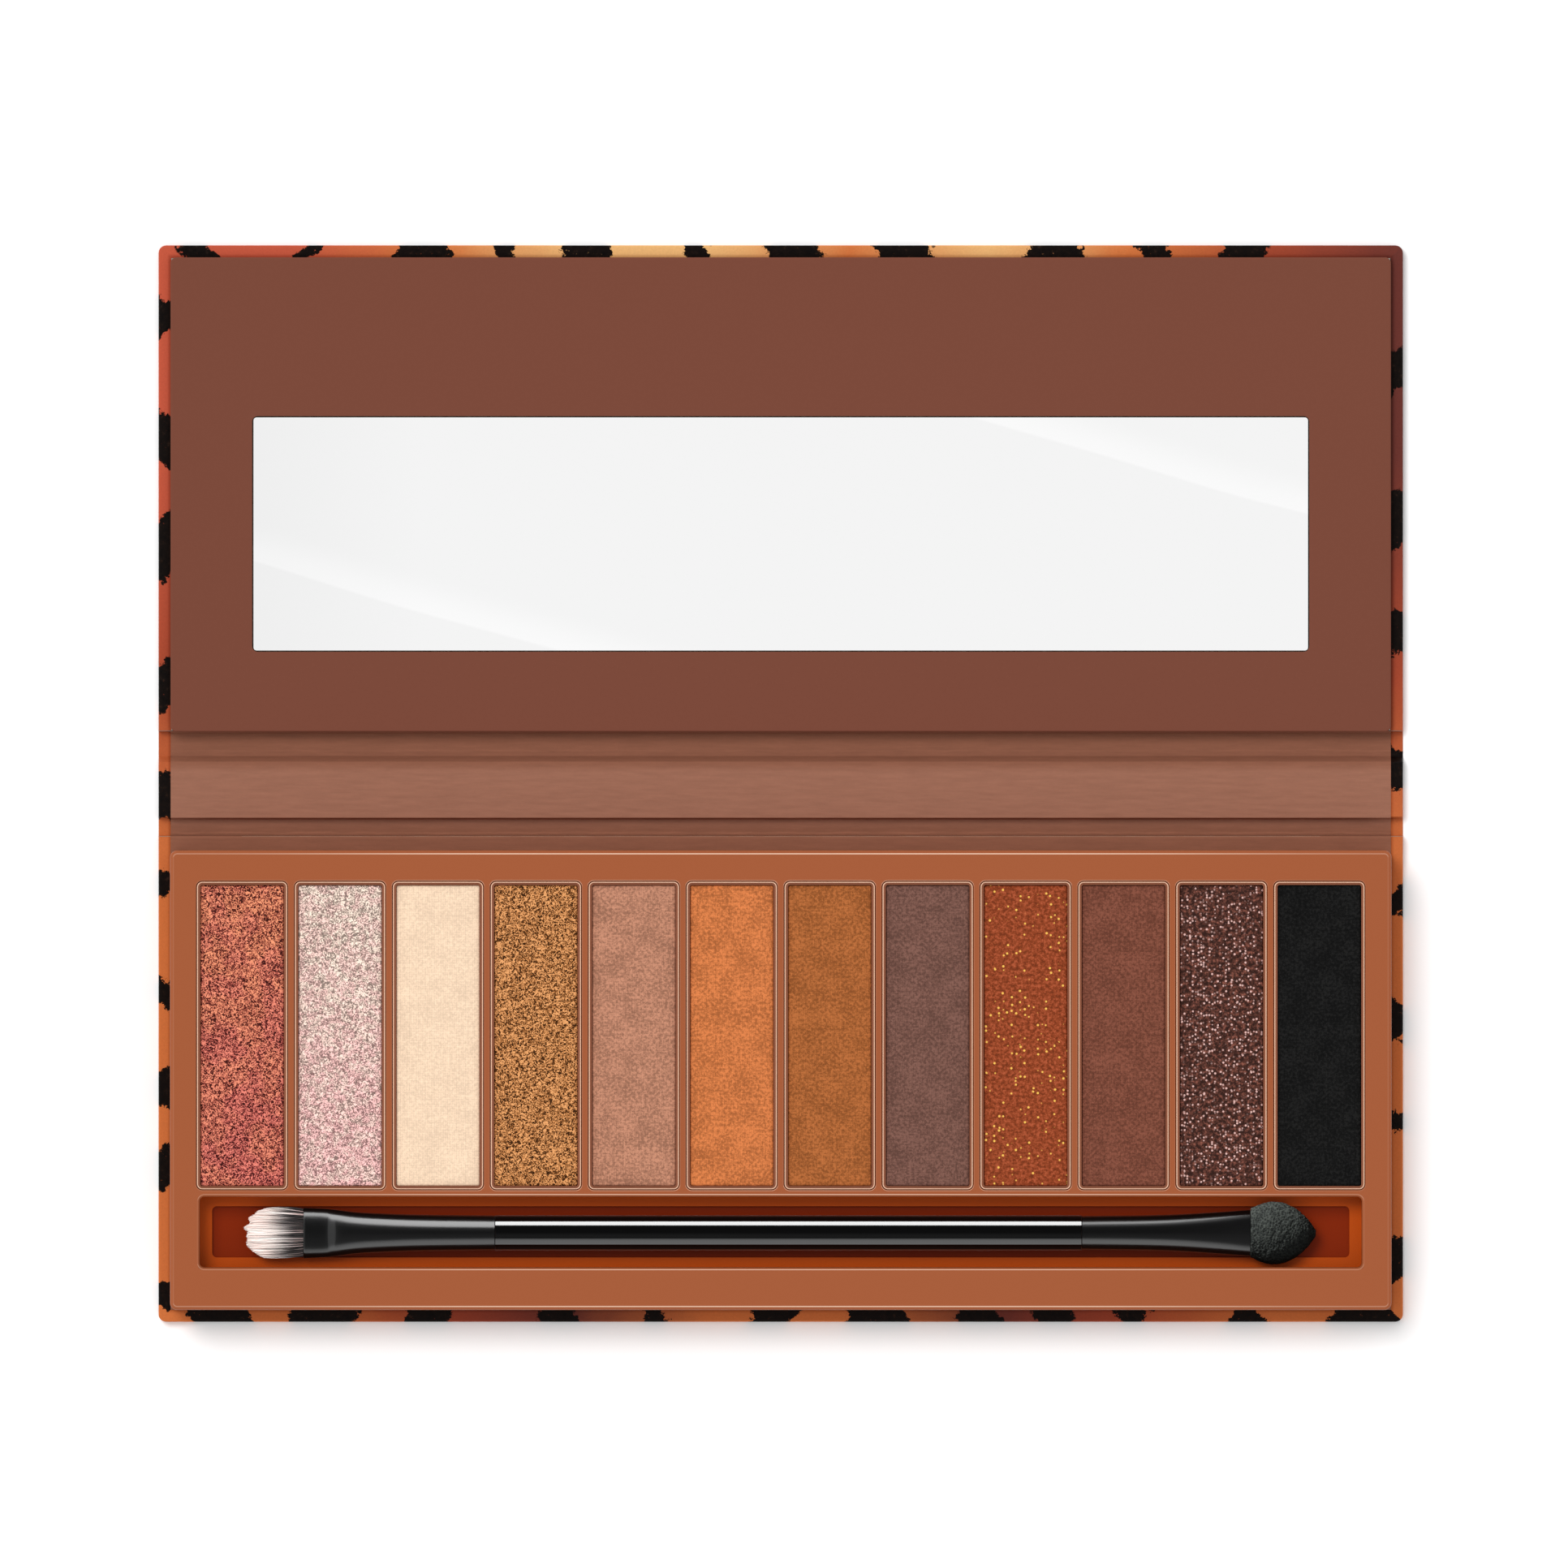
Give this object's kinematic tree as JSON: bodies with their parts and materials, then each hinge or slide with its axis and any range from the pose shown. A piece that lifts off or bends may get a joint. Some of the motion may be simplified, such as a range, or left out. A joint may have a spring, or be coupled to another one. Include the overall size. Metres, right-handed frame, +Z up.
{
  "type": "eyeshadow palette",
  "caption": "Slim book-style eyeshadow palette lying open, with rectangular powder pans, an applicator in its well and a mirror in the lid.",
  "frame": {"origin": "middle of the open palette's footprint, on the plane it rests on", "axes": "+X to the right along the folds, +Y from the tray towards the lid's free edge, +Z up"},
  "size_m": [0.18, 0.1556, 0.011],
  "materials": {
    "greyboard": "matte grey board",
    "printed_paper": "satin printed paper with a fine linen texture",
    "glue": "dried glue",
    "brown_paper": "matte brown paper",
    "mirror_glass": "silvered glass",
    "magnet_steel": "plated",
    "tray_plastic": "satin moulded plastic",
    "pan_metal": "bright drawn metal",
    "black_gloss_tube": "black gloss lacquer",
    "black_gloss_plastic": "black gloss",
    "bristle": "white fibres, dark at the root",
    "foam": "dark grey fine-celled foam",
    "powder_01": "pressed powder",
    "powder_02": "pressed powder",
    "powder_03": "pressed powder",
    "powder_04": "pressed powder",
    "powder_05": "pressed powder",
    "powder_06": "pressed powder",
    "powder_07": "pressed powder",
    "powder_08": "pressed powder",
    "powder_09": "pressed powder",
    "powder_10": "pressed powder",
    "powder_11": "pressed powder",
    "powder_12": "pressed powder"
  },
  "bodies": {
    "base": {"base_board": "greyboard", "base_wrap": "printed_paper", "base_glue_film": "glue", "pan_glue_dots": "glue", "tray_adhesive": "glue", "base_liner": "brown_paper", "tray_magnets": "magnet_steel", "tray": "tray_plastic", "pan_01": "pan_metal", "pan_02": "pan_metal", "pan_03": "pan_metal", "pan_04": "pan_metal", "pan_05": "pan_metal", "pan_06": "pan_metal", "pan_07": "pan_metal", "pan_08": "pan_metal", "pan_09": "pan_metal", "pan_10": "pan_metal", "pan_11": "pan_metal", "pan_12": "pan_metal", "powder_01": "powder_01", "powder_02": "powder_02", "powder_03": "powder_03", "powder_04": "powder_04", "powder_05": "powder_05", "powder_06": "powder_06", "powder_07": "powder_07", "powder_08": "powder_08", "powder_09": "powder_09", "powder_10": "powder_10", "powder_11": "powder_11", "powder_12": "powder_12"},
    "spine": {"spine_board": "greyboard", "spine_wrap": "printed_paper", "spine_glue_film": "glue", "spine_liner": "brown_paper"},
    "lid": {"lid_board": "greyboard", "lid_wrap": "printed_paper", "lid_glue_film": "glue", "mirror_frame": "greyboard", "lid_liner": "brown_paper", "mirror": "mirror_glass", "lid_magnets": "magnet_steel"},
    "applicator": {"handle_tube": "black_gloss_tube", "brush_ferrule": "black_gloss_tube", "bristle_tuft": "bristle", "sponge_stem": "black_gloss_plastic", "sponge_tip": "foam"}
  },
  "joints": [
    {"name": "spine_fold", "type": "hinge", "parent": "base", "child": "spine", "pos_m": [0, -0.00715, 0], "axis": [1, 0, 0], "range_deg": [0, 90]},
    {"name": "lid_fold", "type": "hinge", "parent": "spine", "child": "lid", "pos_m": [0, 0.00715, 0], "axis": [1, 0, 0], "range_deg": [0, 90]},
    {"name": "brush_lift", "type": "slide", "parent": "base", "child": "applicator", "axis": [0, 0, 1], "range_m": [0, 0.04]}
  ]
}
